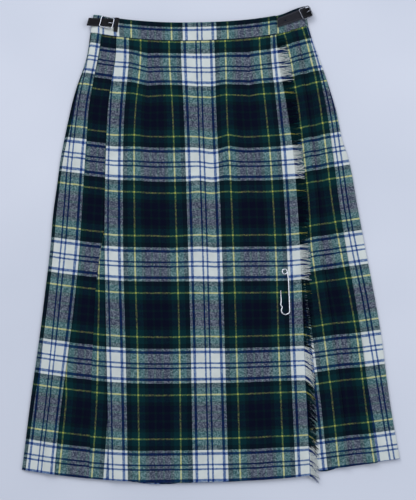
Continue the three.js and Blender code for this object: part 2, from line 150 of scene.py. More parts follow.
print("stage")
camera = {
    "target": (1.6, -347.8, 6),     # mm from the middle of the waist seam
    "distance": 1600,
    "tilt": 8.45,
    "roll": -1.566,
    "yaw": -0.106,
    "lens": 87.04,
}
skirtLength = 712
seamY = cadBox[0][1] / millimetre + skirtLength

turn = (
    Matrix.Rotation(math.radians(camera["yaw"]), 3, "Y")
    @ Matrix.Rotation(math.radians(camera["tilt"]), 3, "X")
    @ Matrix.Rotation(math.radians(camera["roll"]), 3, "Z")
)
target = Vector(camera["target"]) + Vector((0, seamY, 0))
cameraData = bpy.data.cameras.new("camera")
cameraData.sensor_fit = "HORIZONTAL"
cameraData.sensor_width = 36
cameraData.lens = camera["lens"]
cameraData.clip_start = 0.05
cameraData.clip_end = 20
cameraObject = bpy.data.objects.new("camera", cameraData)
cameraObject.location = (target + turn @ Vector((0, 0, camera["distance"]))) * millimetre
cameraObject.rotation_euler = turn.to_euler()
bpy.context.scene.collection.objects.link(cameraObject)
bpy.context.scene.camera = cameraObject
bpy.context.scene.view_settings.view_transform = "Standard"

world = bpy.data.worlds.new("daylight")
world.use_nodes = True
world.node_tree.nodes["Background"].inputs["Color"].default_value = linearOf("e6ecfb")
world.node_tree.nodes["Background"].inputs["Strength"].default_value = 0.62
bpy.context.scene.world = world


def addLight(name, place, aim, size, watts, colour):
    lightData = bpy.data.lights.new(name, "AREA")
    lightData.size = size
    lightData.energy = watts
    lightData.color = linearOf(colour)[:3]
    light = bpy.data.objects.new(name, lightData)
    light.location = place
    light.rotation_euler = (Vector(aim) - Vector(place)).to_track_quat("-Z", "Y").to_euler()
    bpy.context.scene.collection.objects.link(light)


addLight("windowLight", (-1.1, 1.5, 1.9), (0, 0, 0), 1.6, 34, "fafaff")
addLight("fillLight", (1.5, 0.1, 1.7), (0, 0, 0), 1.6, 19, "f6f7ff")

floorFinish = {"colour": "cdd1d8", "shade": "c4c9d1"}
bpy.ops.mesh.primitive_plane_add(size=8, location=(0, 0, -0.0003))
floor = bpy.context.active_object
floor.name = "floor"
floorMaterial, tree, shader = newMaterial("paintedBoard", {"Roughness": 0.9, "Specular IOR Level": 0.1})
coordinates = addNode(tree, "ShaderNodeTexCoord")
cloudy = noiseOf(tree, coordinates.outputs["Object"], 3, 2)
floorRamp = addNode(tree, "ShaderNodeValToRGB", {}, {"Fac": cloudy})
fillRamp(floorRamp, [(0.35, linearOf(floorFinish["shade"])), (0.7, linearOf(floorFinish["colour"]))])
tree.links.new(floorRamp.outputs["Color"], shader.inputs["Base Color"])
floor.data.materials.append(floorMaterial)


# the laid skirt's plan: pairs of distance below the seam and x, both in mm

print("plan")
plan = {
    "leftEdge": [(0, -182.5), (44, -189.5), (93, -206), (122, -214), (146, -219.3), (165, -223.4),
                 (213, -232.7), (255, -238.5), (306, -245.5), (360, -250), (445, -260.3), (493, -266.3),
                 (597, -281), (685, -292.2), (712, -295.8)],
    "rightEdge": [(0, 177), (31, 184), (62, 193.5), (93, 203), (145, 216), (165, 219), (195, 224),
                  (230, 233), (260, 237.8), (304, 243), (376, 252.5), (456, 263.5), (520, 271),
                  (582, 275.5), (637, 280.5), (702, 288.5), (712, 290)],
    "leftFold": [(0, -163.2), (41, -170), (80, -178), (124, -185.6), (165, -189), (208, -192.4),
                 (290, -198.2), (353, -202.4), (410, -208), (479, -216.3), (590, -231.5), (678, -241.7),
                 (712, -244.5)],
    "topEdge": [(0, -180.7), (44, -187.5), (70, -195.6), (93, -202.8), (122, -209.6), (146, -213.8),
                (165, -218), (213, -228.3), (255, -234), (306, -240), (360, -244.6), (445, -254),
                (493, -260), (560, -269), (597, -274.8), (685, -286.5), (712, -290)],
    "apronFold": [(0, -139), (38, -141.3), (80, -149), (121, -154.6), (204, -159.4), (290, -162),
                  (349, -162.7), (474, -162.2), (583, -161.6), (670, -161.2), (712, -161.6)],
    "tuck": [(300, -158), (322, -164), (345, -168.4), (371, -172.2), (392, -175.1), (413, -178.2),
             (498, -183.4), (607, -188), (712, -192)],
    "fringedEdge": [(0, 123), (45, 125.5), (90, 132), (135, 137.5), (200, 143.5), (290, 147), (380, 148),
                    (490, 148.5), (600, 149), (712, 150)],
    "innerFold": [(0, 159), (82, 165.5), (133, 170.7), (218, 176.8), (292, 181), (363, 182.5),
                  (443, 189.6), (506, 196), (570, 201.2), (625, 205), (689, 209), (712, 211)],
    "outerFold": [(0, 173), (60, 186), (91, 192.4), (142, 200.3), (226, 208.1), (299, 213.8),
                  (372, 221.6), (451, 231.7), (515, 238.3), (578, 243.4), (633, 247), (697, 253),
                  (712, 254.5)],
}

# where stripes of the tartan lie across the laid cloth
stripePlaces = {
    "leftPivot": [(0, -189), (60, -194), (127, -206.5), (211, -217), (285, -223.2), (356, -229.2),
                  (483, -242.2), (593, -253.8), (681, -265), (712, -268.4)],
    "apronWhiteLeft": [(0, -147), (41, -147.6), (121, -154), (204, -158), (349, -160.8), (474, -160),
                       (583, -158.6), (712, -157.7)],
    "apronYellowFarLeft": [(0, -100.3), (41, -101.7), (128, -111.5), (200, -114.3), (367, -115.6),
                           (500, -114), (712, -114.4)],
    "apronYellowLeft": [(0, -52.3), (41, -52), (128, -48.9), (200, -48), (367, -47), (500, -46.5),
                        (712, -48.7)],
    "apronWhite": [(0, -5), (128, -4.4), (367, -3.2), (712, -3.7)],
    "apronYellow": [(0, 38.2), (41, 38.4), (128, 37.8), (200, 39.6), (367, 41.3), (500, 41.2),
                    (712, 41.2)],
    "apronYellowFar": [(0, 96.2), (41, 96.9), (128, 102.8), (200, 107), (367, 110.2), (500, 109.1),
                       (712, 110)],
    "underYellow": [(0, 135.5), (22, 140), (50, 145.2), (82, 148.8), (133, 154.7), (218, 160.5),
                    (292, 164.6), (363, 166), (443, 173.6), (506, 179.5), (570, 185), (625, 189),
                    (689, 192.5), (712, 194)],
    "underYellowFar": [(0, 167), (29, 174), (58, 179.3), (89, 185.4), (140, 191.5), (224, 198.2),
                       (298, 203.4), (370, 212.6), (450, 224.4), (514, 232.5), (577, 237.4), (632, 241.8),
                       (697, 248.2), (712, 250)],
    "rightPivot": [(0, 182), (61, 192.2), (92, 199.9), (144, 209.3), (228, 217.7), (301, 224.6),
                   (374, 234.4), (454, 247), (517, 254.9), (581, 262.2), (636, 268.4), (701, 276.2),
                   (712, 277.6)],
    "besideFold": [(0, 58), (124, 54), (353, 52), (430, 50), (500, 47), (540, 44.8), (565, 41.8),
                   (590, 38.6), (640, 37.4), (678, 37.2), (712, 37.8)],
    "besideTuck": [(300, 112), (371, 112), (420, 106), (475, 104), (584, 102.6), (672, 105.7),
                   (712, 107.5)],
    "outerUnder": [(0, 151), (92, 148.8), (228, 146.5), (374, 143.6), (517, 140), (581, 137.5),
                   (636, 133.8), (712, 133)],
}

# how much lower the stripes across lie than the same length of level cloth
weftSag = [(-31, 0), (0, -0.6), (14, 1.2), (64, 2.8), (115, 3.0), (165, 2.3), (264, 2.2), (312, 2.8),
           (359, 3.8), (406, 4.6), (454, 5.0), (500, 5.0), (548, 4.7), (595, 3.9), (642, 2.5),
           (690, -0.4), (712, -1.5)]


def along(curve, below):
    below = min(max(below, curve[0][0]), curve[-1][0])
    i = 0
    while i < len(curve) - 2 and curve[i + 1][0] < below:
        i += 1

    def slope(j):
        before = curve[max(j - 1, 0)]
        after = curve[min(j + 1, len(curve) - 1)]
        return (after[1] - before[1]) / (after[0] - before[0])

    start, end = curve[i], curve[i + 1]
    span = end[0] - start[0]
    t = (below - start[0]) / span
    return (
        (2 * t ** 3 - 3 * t ** 2 + 1) * start[1] + (t ** 3 - 2 * t ** 2 + t) * span * slope(i)
        + (3 * t ** 2 - 2 * t ** 3) * end[1] + (t ** 3 - t ** 2) * span * slope(i + 1)
    )


def planAt(below):
    values = {"below": below}
    for table in (plan, stripePlaces):
        for name, curve in table.items():
            values[name] = along(curve, max(below, 0))
    if below < 0:
        share = -below / band["height"]
        values["leftEdge"] = mix(values["leftEdge"], -177, share)
        values["rightEdge"] = mix(values["rightEdge"], 173, share)
    return values


def mix(a, b, t):
    return a + (b - a) * t


def smoothStep(value, start, end):
    t = min(max((value - start) / (end - start), 0), 1)
    return t * t * (3 - 2 * t)


# the cloth: wall, level and threads

cloth = {
    "wall": 1.0,
    "step": 1.3,                 # from one layer's middle to the next
    "rowGap": 5.5,
    "warpHalf": 78.24,           # half the sett across, from a narrow white to a navy
    "weftHalf": 80.0,            # half the sett down
    "firstWhite": 48.2,          # the first narrow white line below the seam
    "seamRise": 19, "hemRise": 26, "risePower": 2.2,
}

# the whole sett across, and its yellow lines' places from a narrow white
settAcross = 2 * cloth["warpHalf"]
yellow, farYellow = 43.8, 112.7

band = {
    "height": 31, "wall": 1.6, "seamGap": 0.4,
    "across": [(-195.4, -187.4), (-164.5, -156.48), (-115.5, -112.7), (-47.8, -43.8), (-2.5, 0),
               (43, 43.8), (112.6, 112.7), (157, 156.48), (185, 184.5)],
    "down": [(-31, 37), (-22.5, 26.6), (-19.2, 22.7), (-15.6, 18.6), (-0.4, 4.75)],
}


def levelHeight(level):
    return cloth["wall"] / 2 + level * cloth["step"]


def riseLeft(values, x):
    rise = mix(cloth["seamRise"], cloth["hemRise"], max(values["below"], 0) / skirtLength)
    return rise * min(abs(x / values["leftEdge"]), 1.1) ** cloth["risePower"]


def riseApron(values, x):
    if x < 0:
        return riseLeft(values, x)
    rise = along([(0, 7), (60, 5.5), (115, 5.2), (250, 1.5), (640, 2.6), (712, 6)], max(values["below"], 0))
    return rise * (x / values["fringedEdge"]) ** 3


def riseRight(values, x):
    if x < 0:
        return riseLeft(values, x)
    below = max(values["below"], 0)
    fringe = values["fringedEdge"]
    start = along([(0, 7.4), (50, 8.2), (90, 9.5), (712, 12)], below)
    slant = along([(0, 0.25), (50, 0.24), (90, 0.19), (300, 0.13), (712, 0.106)], below)
    if x < fringe:
        return start * (x / fringe) ** 2.2
    return start + slant * (x - fringe)


def riseBack(values, x):
    # two short lengths of its hem hang out below the layers over it
    dip = 4 * math.exp(-((x - 175.5) / 13) ** 4) + 3.4 * math.exp(-((x + 86) / 33) ** 6)
    return riseRight(values, x) - dip * smoothStep(values["below"], 640, skirtLength)


def riseBand(values, x):
    edge = values["leftEdge"] if x < 0 else values["rightEdge"]
    pulled = 5 * smoothStep(x, 126, 163) * -values["below"] / band["height"]
    return cloth["seamRise"] * min(abs(x / edge), 1.1) ** (2.2 if x < 0 else 2.5) + pulled


# a cross-section is a list of (x, z, threads before, threads after): the two
# thread counts differ only where a fold or a dart hides some cloth

def straight(points, x, z, threads, after=None):
    points.append((x, z, threads, threads if after is None else after))


def run(points, toX, toZ, toThreads, pieces):
    fromX, fromZ, _, fromThreads = points[-1]
    for i in range(1, pieces + 1):
        t = i / pieces
        straight(points, mix(fromX, toX, t), mix(fromZ, toZ, t), mix(fromThreads, toThreads, t))


def follow(points, *steps):
    for step in steps:
        straight(points, *step)


# legs are (x to reach, level, pieces); threadsAt gives the count at each x
def runLegs(points, threadsAt, *legs):
    for toX, level, pieces in legs:
        run(points, toX, levelHeight(level), threadsAt(toX), pieces)


# hide some cloth behind the last point
def jumpTo(points, threads):
    points[-1] = (*points[-1][:3], threads)


def turnOver(points, edge, facing, fromLevel, toLevel, threads):
    radius = abs(levelHeight(toLevel) - levelHeight(fromLevel)) / 2
    middleX = edge - facing * (radius + cloth["wall"] / 2)
    middleZ = (levelHeight(fromLevel) + levelHeight(toLevel)) / 2
    up = 1 if toLevel > fromLevel else -1
    for i in range(7):
        angle = math.radians(-90 + 30 * i)
        arc = (i - 3) * radius * math.pi / 6
        x = middleX + facing * radius * math.cos(angle)
        straight(points, x, middleZ + up * radius * math.sin(angle), threads + arc)


back = {
    "pleats": 10,
    "pleatCloth": 93.6,
    "insetRight": (30, 21), "insetLeft": (16, 14),      # at the waist and at the hem
    "firstThreads": 201.0,
    "leftPivotThreads": 7 * settAcross,
    "foldDepth": 13,
}


def backSection(values):
    t = max(values["below"], 0) / skirtLength
    right, left = values["rightEdge"], values["leftEdge"]
    outerFold, leftFold = values["outerFold"], values["leftFold"]
    pivotThreads = settAcross
    outer, front = values["outerUnder"], levelHeight(3)
    points = []
    depth = underApron["outerDepth"]
    straight(points, outerFold - depth, front, outer - depth)
    run(points, outerFold, front, outer, 3)
    pivot = max(values["rightPivot"], outerFold + 3)
    if pivot < right - 4:
        run(points, pivot, front, pivotThreads, 4)
        edgeThreads = pivotThreads + right - 3 - pivot
    else:
        edgeThreads = outer + right - 3 - outerFold
        run(points, mix(outerFold, right - 3, 0.5), front, mix(outer, edgeThreads, 0.5), 4)
    run(points, right - 3, front, edgeThreads, 4)
    follow(
        points,
        (right - 1.6, front - 0.45, edgeThreads + 1.5),
        (right - 0.7, front - 1.4, edgeThreads + 2.8),
        (right - 0.5, levelHeight(1), edgeThreads + 4.2),
        (right - 0.9, levelHeight(0) + 0.35, edgeThreads + 5.6),
        (right - 2.2, levelHeight(0), edgeThreads + 6.6),
    )
    firstInset = mix(*back["insetRight"], t)
    first = right - firstInset
    last = left + mix(*back["insetLeft"], t)
    pitch = (first - last) / (back["pleats"] - 1)
    depth = (back["pleatCloth"] - pitch) / 2
    threads = back["firstThreads"]
    for k in range(back["pleats"]):
        edge = first - k * pitch
        shown = min(depth, firstInset - 5.5) if k == 0 else depth
        run(points, edge + 2, levelHeight(0), threads - 2, 6)
        turnOver(points, edge, -1, 0, 1, threads)
        run(points, edge + shown - 2, levelHeight(1), threads + shown - 2, 2)
        turnOver(points, edge + shown, 1, 1, 2, threads + shown)
        hidden = back["pleatCloth"] - pitch if k < back["pleats"] - 1 else 2 * shown
        run(points, edge + 0.6, levelHeight(2), threads + hidden - 1, 2)
        straight(points, edge - 3.4, levelHeight(0) + 0.1, threads + hidden + 3)
        threads += back["pleatCloth"]
    pivotThreads = back["leftPivotThreads"]
    sliver = pivotThreads - 33
    run(points, left + 2.2, levelHeight(0), sliver - 6, 2)
    follow(
        points,
        (left + 0.9, levelHeight(0) + 0.35, sliver - 5),
        (left + 0.5, levelHeight(1) - 0.2, sliver - 3),
        (left + 0.8, levelHeight(1) + 0.8, sliver - 1.6),
        (left + 2.0, levelHeight(2) - 0.2, sliver),
    )
    topEdge = values["topEdge"]
    run(points, topEdge + 0.6, levelHeight(2) - 0.1, sliver + topEdge - left - 1.4, 2)
    spread = mix(1.03, 1.25, smoothStep(values["below"], 400, 700))
    edgeThreads = pivotThreads + (topEdge - values["leftPivot"]) * spread
    jumpTo(points, edgeThreads - 1)
    follow(points, (topEdge + 0.7, front - 0.5, edgeThreads), (topEdge + 1.5, front - 0.1, edgeThreads + 1))
    foldThreads = pivotThreads + 26.2
    pivot = values["leftPivot"]
    if pivot > topEdge + 4:
        run(points, pivot, front, pivotThreads, 4)
    else:
        middle = mix(topEdge, leftFold, 0.4)
        run(points, middle, front, mix(edgeThreads, foldThreads, 0.4), 4)
    underEnd = leftFold - back["foldDepth"]
    x, _, _, far = points[-1]
    stepStart = mix(x, underEnd - 1.5, 0.6)
    rate = (foldThreads - far) / (leftFold - x)
    for toX, level, pieces in ((stepStart, 3.3, 2), (underEnd - 1.5, 5, 2), (leftFold - 3, 5, 3)):
        x, _, _, here = points[-1]
        run(points, toX, levelHeight(level), here + rate * (toX - x), pieces)
    turnOver(points, leftFold, 1, 5, 4, foldThreads)
    run(points, underEnd, levelHeight(4), foldThreads + 12, 2)
    return points


underApron = {"hiddenStart": 36, "innerDepth": 8, "outerDepth": 13}


def underApronSection(values):
    start = values["apronFold"] + underApron["hiddenStart"]
    innerFold, outerFold = values["innerFold"], values["outerFold"]
    innerBack = innerFold - underApron["innerDepth"]
    outerBack = outerFold - underApron["outerDepth"]
    atX = lambda x: yellow + x - values["underYellow"]
    farAtX = lambda x: farYellow + x - values["underYellowFar"]
    points = []
    straight(points, start, levelHeight(3), atX(start))
    runLegs(points, atX, (values["fringedEdge"] - 12, 3, 22), (innerBack - 6, 3, 6), (innerBack - 1, 5, 2),
            (innerFold - 2, 5, 2))
    turnOver(points, innerFold, 1, 5, 4, atX(innerFold))
    run(points, innerBack + 2, levelHeight(4), atX(innerFold) + 6, 1)
    turnOver(points, innerBack, -1, 4, 3, atX(innerFold) + 8)
    jumpTo(points, farAtX(points[-1][0]))
    runLegs(points, farAtX, (outerBack - 6, 3, 5), (outerBack - 2, 5, 2), (outerFold - 2, 5, 3))
    turnOver(points, outerFold, 1, 5, 4, farAtX(outerFold))
    run(points, outerBack, levelHeight(4), farAtX(outerFold) + 12, 2)
    return points


leftDart, rightDart = -88, 76
frontApron = {
    "underlayReach": 28,
    "columnGap": 5,
    "tuckStart": 300,
    "darts": [
        {"x": leftDart, "left": ("apronYellowFarLeft", -farYellow), "right": ("apronYellowLeft", -yellow),
         "full": 55, "end": 98},
        {"x": rightDart, "left": ("apronYellow", yellow), "right": ("apronYellowFar", farYellow),
         "full": 45, "end": 88},
    ],
}


def tuckPlace(values):
    return values["tuck"] if values["below"] > frontApron["tuckStart"] else values["apronFold"] + 4


# threads across the flat apron, from where its stripes lie
def apronThreads(values, x):
    stripes = [
        (values["apronWhiteLeft"], -settAcross),
        (values["apronYellowFarLeft"], -farYellow),
        (values["apronYellowLeft"], -yellow),
        (values["apronWhite"], 0),
        (values["apronYellow"], yellow),
        (values["apronYellowFar"], farYellow),
    ]
    if x <= stripes[0][0]:
        return stripes[0][1] + x - stripes[0][0]
    for (startX, start), (endX, end) in zip(stripes, stripes[1:]):
        if x <= endX:
            return mix(start, end, (x - startX) / (endX - startX))
    return stripes[-1][1] + x - stripes[-1][0]


def dartThreads(values, x, side):
    even = apronThreads(values, x)
    for dart in frontApron["darts"]:
        leftName, leftCount = dart["left"]
        rightName, rightCount = dart["right"]
        if not values[leftName] < x < values[rightName]:
            continue
        openness = 1 - smoothStep(values["below"], dart["full"], dart["end"])
        if x < dart["x"] or (x == dart["x"] and side == "before"):
            return mix(even, leftCount + x - values[leftName], openness)
        return mix(even, rightCount + x - values[rightName], openness)
    return even


def frontApronSection(values):
    leftFold, apronFold = values["leftFold"], values["apronFold"]
    start = leftFold - back["foldDepth"]
    reach = apronFold + frontApron["underlayReach"]
    beside = values["besideFold"]
    atX = lambda x: beside + x - leftFold
    tuckShare = smoothStep(values["below"], frontApron["tuckStart"], frontApron["tuckStart"] + 45)
    tuck = tuckPlace(values)
    tuckAtX = lambda x: values["besideTuck"] + x - tuck
    points = []
    straight(points, start, levelHeight(3), atX(start))
    runLegs(points, atX, (leftFold + 1, 3, 3), (tuck - 8, 3, 6))
    top = levelHeight(3) + 0.95 * tuckShare
    run(points, tuck - 4, top, atX(tuck - 4), 2)
    run(points, tuck - 0.5, top, atX(tuck - 0.5), 2)
    tucked = tuckShare > 0.02
    beyond = tuckAtX if tucked else atX
    far = max(apronFold, tuck + 1) if tucked else tuck + 1
    straight(points, tuck, top - 0.5 * tuckShare * tucked, atX(tuck), beyond(tuck))
    straight(points, tuck + 0.1, levelHeight(3), beyond(tuck + 0.1))
    runLegs(points, beyond, (far, 3, 3))
    under = points[-1][3] + reach - points[-1][0]
    run(points, reach - 2, levelHeight(3), under - 2, 2)
    turnOver(points, reach, 1, 3, 4, under)
    foldThreads = apronThreads(values, apronFold)
    run(points, apronFold + 2, levelHeight(4), under + reach - apronFold, 2)
    jumpTo(points, foldThreads - 3)
    turnOver(points, apronFold, -1, 4, 5, foldThreads)
    stops = [apronFold + 3, apronFold + 14, reach - 2, reach + 4]
    gap = frontApron["columnGap"]
    for fromX, toX in ((reach + 4, leftDart), (leftDart, rightDart), (rightDart, values["fringedEdge"])):
        count = max(2, round(abs(toX - fromX) / gap))
        if fromX == reach + 4:
            count = 6
        if toX == values["fringedEdge"]:
            count = 12
        stops += [mix(fromX, toX, i / count) for i in range(1, count + 1)]
    for x in stops:
        level = 5 - smoothStep(x, reach - 4, reach + 6)
        height = levelHeight(level) + dartRelief(values, x)
        straight(points, x, height, dartThreads(values, x, "before"), dartThreads(values, x, "after"))
    return points


# soft waves of the laid apron: how far its stripes across lie above a level line,
# at distances from the middle, row by row down the skirt
apronWaves = {
    "x": [-142, -114, -86, -57, -28, -10, 2, 10, 19, 29, 39, 50, 67, 96, 124, 152],
    "rows": [
        (0, [0, 0, 0, 0, 0, 0, 0, 0, 0, 0, 0, 0, 0, 0, 0, 0]),
        (40, [-1, 0.5, 1.5, 2, 1.6, 0.6, 0.4, 0, 0.3, 1, 1.8, 1.2, 1, 0.8, 0, 0]),
        (96, [-1.8, 0.8, 3.2, 4.2, 3.2, 1.1, 0.8, 0.2, 0.6, 3.0, 3.8, 3.0, 2.4, 1.9, -0.2, 0]),
        (166, [0.5, 3.5, 2.9, 3.2, 3.6, 2.7, 0.8, -0.6, -0.5, 1.9, 4.6, 2.7, 0, -0.2, -0.3, 0]),
        (255, [0.3, 1.6, 0.8, 1.1, 1.8, 3.2, 1.1, 0, 0.6, 2.1, 1.8, 0.5, 0.9, -0.3, 0, 0.3]),
        (326, [-1, 0.3, 1, 0.8, 2.2, 2.6, 1.6, 0.2, 0.6, 0.8, 0.6, 0.2, 0.1, -0.8, -1.6, -0.5]),
        (417, [0.5, 1.3, 2.2, 2.6, 2.9, 2.2, 1.9, 1.6, 1.3, 1.1, 1.4, 1.1, 0.5, -0.2, -1, 0]),
        (488, [1.3, 1.4, 1.9, 2.2, 3, 2.9, 2.6, 2, 1.9, 1.4, 1, 1.3, 1.2, 0.8, 0.8, 0.4]),
        (578, [1.3, 1.3, 1.8, 2.4, 2.8, 2.7, 2.7, 2.6, 2.4, 1.9, 2, 2, 2.1, 2.3, 1.8, 0.8]),
        (646, [0.2, 0.6, 1.6, 2.2, 2.4, 2.5, 2.4, 2.3, 1.9, 1.9, 1.9, 2, 1.7, 2.3, 1.4, 0.9]),
        (712, [0.2, 0.6, 1.6, 2.2, 2.4, 2.5, 2.4, 2.3, 1.9, 1.9, 1.9, 2, 1.7, 2.3, 1.4, 0.9]),
    ],
}


def waveLift(below, x):
    rows = apronWaves["rows"]
    i = 0
    while i < len(rows) - 2 and rows[i + 1][0] < below:
        i += 1
    upper = along(list(zip(apronWaves["x"], rows[i][1])), x)
    lower = along(list(zip(apronWaves["x"], rows[i + 1][1])), x)
    return mix(upper, lower, smoothStep(below, rows[i][0], rows[i + 1][0]))


# how far the pleats beside the apron are drawn up, by distance below the seam
drawnUp = {
    "backLeft": [(0, 3), (20, 6.2), (38, 8), (70, 10.6), (96, 10.6), (166, 7.6), (255, 4.2), (326, 2.8),
                 (417, 2.7), (488, 2.7), (578, 2.1), (646, 1.8), (712, 1.4)],
    "besideApron": [(0, 0.4), (20, 2.8), (40, 5.4), (70, 7.6), (96, 8.2), (130, 7), (166, 5.1),
                    (255, 2.7), (326, 3.6), (417, 2.5), (488, 1.2), (578, 0.7), (646, 1.3), (712, 1)],
    "backRight": [(0, 0.4), (96, 0.8), (166, 1.4), (255, 0.2), (326, -0.5), (417, 0), (488, -0.7),
                  (578, -0.7), (646, -1.6), (712, -1.4)],
    "under": [(0, 0.4), (96, 0.6), (166, 0.7), (255, 0), (326, -0.5), (417, 0.4), (488, 1.2), (578, 1.4),
              (646, 0), (712, 0)],
}


def backBumps(values, x, z):
    side = "backLeft" if x < 0 else "backRight"
    showing = smoothStep(z, levelHeight(0.4), levelHeight(2)) * smoothStep(abs(x), 120, 150)
    return -showing * along(drawnUp[side], values["below"])


def underBumps(values, x, z):
    near, far = along(drawnUp["under"], values["below"]), along(drawnUp["backRight"], values["below"])
    return -mix(near, far, smoothStep(x, values["innerFold"], values["outerFold"]))


def apronBumps(values, x, z):
    below = values["below"]
    tuck = tuckPlace(values)
    if z < levelHeight(3.9) and x <= tuck:
        return -along(drawnUp["besideApron"], below) - waveLift(below, x)
    leftOpen = smoothStep(below, 0, 35) * (1 - smoothStep(below, 105, 180))
    leftDip = 1.9 * math.exp(-abs(x - leftDart) / 15) - 4.6 * smoothStep(-x, -leftDart, 30 - leftDart)
    rightOpen = smoothStep(below, 0, 40) * (1 - smoothStep(below, 90, 160))
    rightDip = 2.6 * math.exp(-abs(x - rightDart) / 13)
    return leftDip * leftOpen + rightDip * rightOpen - waveLift(below, x)


# the crease of each dart, with its allowance standing a little beside it
def dartRelief(values, x):
    below = values["below"]
    leftOpen = 1 - smoothStep(below, 70, 125)
    rightOpen = 0.5 * (1 - smoothStep(below, 60, 110))
    lift = 0
    for middle, side, openness in ((leftDart, -1, leftOpen), (rightDart, 1, rightOpen)):
        reach = side * (x - middle)
        lift -= 0.7 * openness * math.exp(-(reach / 2.2) ** 2)
        lift += 0.6 * openness * math.exp(-((reach - 7) / 5) ** 2)
    return lift


# soft unevenness of laid wool, in mm

def softRelief(x, y, seed):
    wide = noise.noise(Vector((x / 95, y / 130, seed)))
    small = noise.noise(Vector((x / 38, y / 46, seed + 9)))
    return 0.55 * wide + 0.22 * small


# corners are in mm, one for each corner of each face
def meshPiece(name, vertices, faces, layerName, corners):
    mesh = bpy.data.meshes.new(name)
    mesh.from_pydata(vertices, [], faces)
    layer = mesh.uv_layers.new(name=layerName)
    for loop, (across, down) in zip(layer.data, corners):
        loop.uv = (across * millimetre, down * millimetre)
    piece = bpy.data.objects.new(name, mesh)
    bpy.context.scene.collection.objects.link(piece)
    bpy.context.view_layer.objects.active = piece
    return piece


def thicken(piece, thickness):
    wall = piece.modifiers.new("wall", "SOLIDIFY")
    wall.thickness = thickness
    wall.offset = 0
    bpy.ops.object.modifier_apply(modifier="wall")


def clothMesh(name, section, rise, rows, seed, bumps=None, threadsDown=None, wall=None, relief=1.0):
    vertices, faces, corners = [], [], []
    sections = []
    for below in rows:
        values = planAt(below)
        points = section(values)
        line = []
        for x, z, before, after in points:
            y = -below + rise(values, x)
            lift = softRelief(x, y, seed) * relief
            lift *= smoothStep(z, levelHeight(2), levelHeight(3)) * 0.8
            down = threadsDown(below) if threadsDown else below - along(weftSag, below) - cloth["firstWhite"]
            if bumps:
                down -= bumps(values, x, z)
            vertices.append((x * millimetre, (y + seamY) * millimetre, (z + max(lift, -0.25)) * millimetre))
            line.append((before, after, down))
        sections.append(line)
    count = len(sections[0])
    assert all(len(line) == count for line in sections), name
    for i in range(len(rows) - 1):
        for j in range(count - 1):
            a, b = i * count + j, (i + 1) * count + j
            faces.append((a, b, b + 1, a + 1))
            here, below = sections[i], sections[i + 1]
            corners += [
                (here[j][1], here[j][2]), (below[j][1], below[j][2]),
                (below[j + 1][0], below[j + 1][2]), (here[j + 1][0], here[j + 1][2]),
            ]
    piece = meshPiece(name, vertices, faces, "threads", corners)
    piece.select_set(True)
    thicken(piece, (wall or cloth["wall"]) * millimetre)
    bpy.ops.object.shade_smooth_by_angle(angle=math.radians(50))
    piece.select_set(False)
    return piece


def dress(piece, material, slotName, *nodes):
    piece.data.materials.clear()
    piece.data.materials.append(material)
    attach(piece, "root")
    if nodes:
        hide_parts(*nodes)


# wool tartan, a 2/2 twill: matt, mottled where light threads cross dark ones, the crossings darkened with
# painted shade

print("wool")
wool = {
    "white": "c2c8c2",
    "blue": "162f66",
    "black": "06161c",
    "green": "06262a",
    "yellow": "9a9a48",
    "navy": "060a1b",
    # painted shade: the blend draws a crossing of light and dark threads darker than an even mix, for the
    # shade in the twill
    "blend": 5,              # how strongly dark threads win in a crossing
    "thread": 0.62,          # mm; drawn half as coarse again so that the twill shows
    "crossing": 1.35,        # mm; crossings are finer, and drawn this coarse to show as mottle
    "finish": {"Roughness": 0.95, "Specular IOR Level": 0.02, "Sheen Weight": 0.02, "Sheen Roughness": 0.6},
}
halfSett = [
    ("white", 1.9), ("blue", 2.8), ("white", 13.8), ("blue", 4.2), ("white", 3.8), ("black", 7.3),
    ("green", 9.7), ("yellow", 2.2), ("green", 9.8), ("black", 5.3), ("navy", 9.6), ("black", 3.3),
    ("navy", 4.8),
]


def settStops(power):
    total = sum(width for _, width in halfSett)
    stops, start = [], 0
    for colour, width in halfSett:
        red, green, blue, _ = linearOf(wool[colour])
        stops.append((start / total, (red ** power, green ** power, blue ** power, 1)))
        start += width
    return stops


def settColour(tree, coordinate, half, power):
    folded = mathNode(tree, "PINGPONG", coordinate, half * millimetre)
    share = mathNode(tree, "DIVIDE", folded, half * millimetre)
    ramp = addNode(tree, "ShaderNodeValToRGB", {}, {"Fac": share})
    fillRamp(ramp, settStops(power), "CONSTANT")
    return ramp.outputs["Color"]


